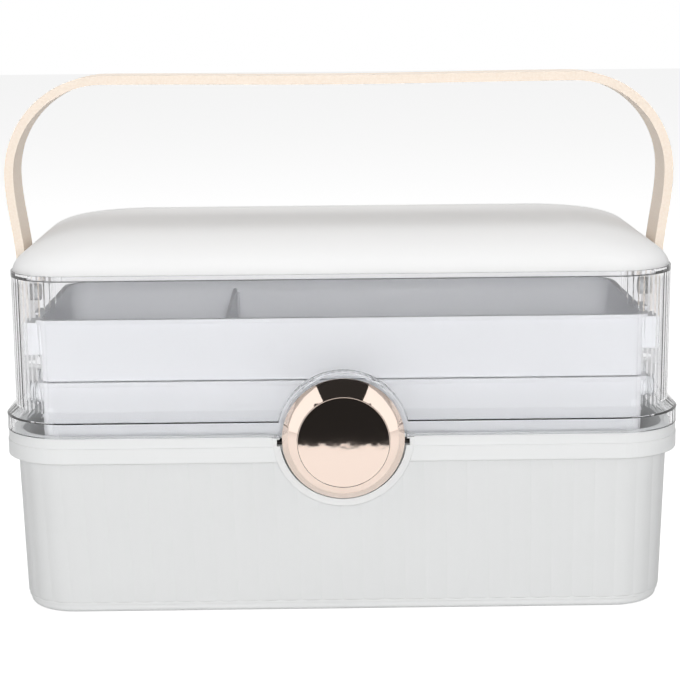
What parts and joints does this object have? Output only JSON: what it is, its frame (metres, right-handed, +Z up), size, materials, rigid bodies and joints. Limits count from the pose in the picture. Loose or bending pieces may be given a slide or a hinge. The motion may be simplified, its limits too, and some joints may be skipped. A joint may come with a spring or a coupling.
{
  "type": "makeup storage case",
  "caption": "White storage case with a hinged clear lid, lift-up cantilever trays, a round plated clasp and a strap handle.",
  "frame": {"origin": "middle of the footprint, on the surface it stands on", "axes": "+X to the case's right, -Y to the front where the clasp is, +Z up"},
  "size_m": [0.3386, 0.2, 0.257],
  "materials": {
    "tub_white": "soft gloss moulding",
    "panel_white": "soft gloss moulding",
    "tray_white": "soft gloss moulding",
    "lid_clear": "clear moulding",
    "fitting_white": "plain moulding",
    "strap_beige": "matt soft strap",
    "rose_gold_plate": "rose-gold plating on plastic",
    "pin_steel": "drawn wire"
  },
  "bodies": {
    "base": {"base_tub": "tub_white", "hinge_pin_left": "pin_steel", "hinge_pin_right": "pin_steel", "clasp_pin": "pin_steel", "base_link_pins": "fitting_white"},
    "lid": {"lid_shell": "lid_clear", "lid_top_panel": "panel_white", "handle_rivet_left": "pin_steel", "handle_rivet_right": "pin_steel", "rivet_cap_left": "fitting_white", "rivet_cap_right": "fitting_white"},
    "handle": {"handle_strap": "strap_beige"},
    "clasp": {"clasp_cap": "rose_gold_plate", "clasp_rocker": "fitting_white"},
    "lower_front_links": {"lower_front_link_left": "fitting_white", "lower_front_link_right": "fitting_white"},
    "lower_rear_links": {"lower_rear_link_left": "fitting_white", "lower_rear_link_right": "fitting_white"},
    "lower_tray": {"lower_tray": "tray_white", "lower_link_caps": "fitting_white", "upper_link_pins": "fitting_white"},
    "upper_front_links": {"upper_front_link_left": "fitting_white", "upper_front_link_right": "fitting_white"},
    "upper_rear_links": {"upper_rear_link_left": "fitting_white", "upper_rear_link_right": "fitting_white"},
    "upper_tray": {"upper_tray": "tray_white", "upper_divider": "tray_white", "upper_pivot_pins": "fitting_white"}
  },
  "joints": [
    {"name": "lid_hinge", "type": "hinge", "parent": "base", "child": "lid", "pos_m": [0, 0.094, 0.0895], "axis": [-1, 0, 0], "range_deg": [0, 105]},
    {"name": "handle_swing", "type": "hinge", "parent": "lid", "child": "handle", "pos_m": [0, 0, 0.146], "axis": [1, 0, 0], "range_deg": [-95, 95]},
    {"name": "clasp_rock", "type": "hinge", "parent": "base", "child": "clasp", "pos_m": [0, -0.088, 0.087], "axis": [1, 0, 0], "range_deg": [0, 10]},
    {"name": "lower_front_link", "type": "hinge", "parent": "base", "child": "lower_front_links", "pos_m": [0, 0.0025, 0.0805], "axis": [-1, 0, 0], "range_deg": [0, 52.5]},
    {"name": "lower_rear_link", "type": "hinge", "parent": "base", "child": "lower_rear_links", "pos_m": [0, 0.0305, 0.0805], "axis": [-1, 0, 0], "range_deg": [0, 52.5]},
    {"name": "lower_tray_level", "type": "hinge", "parent": "lower_front_links", "child": "lower_tray", "pos_m": [0, -0.06, 0.1065], "axis": [1, 0, 0], "range_deg": [0, 52.5]},
    {"name": "upper_front_link", "type": "hinge", "parent": "lower_tray", "child": "upper_front_links", "pos_m": [0, 0.0025, 0.108], "axis": [-1, 0, 0], "range_deg": [0, 52.5]},
    {"name": "upper_rear_link", "type": "hinge", "parent": "lower_tray", "child": "upper_rear_links", "pos_m": [0, 0.0305, 0.108], "axis": [-1, 0, 0], "range_deg": [0, 52.5]},
    {"name": "upper_tray_level", "type": "hinge", "parent": "upper_front_links", "child": "upper_tray", "pos_m": [0, -0.06, 0.134], "axis": [1, 0, 0], "range_deg": [0, 52.5]}
  ],
  "couplings": [
    {"joint": "lower_front_link", "follows": "lid_hinge", "ratio": 0.5},
    {"joint": "lower_rear_link", "follows": "lid_hinge", "ratio": 0.5},
    {"joint": "lower_tray_level", "follows": "lid_hinge", "ratio": 0.5},
    {"joint": "upper_front_link", "follows": "lid_hinge", "ratio": 0.5},
    {"joint": "upper_rear_link", "follows": "lid_hinge", "ratio": 0.5},
    {"joint": "upper_tray_level", "follows": "lid_hinge", "ratio": 0.5}
  ]
}
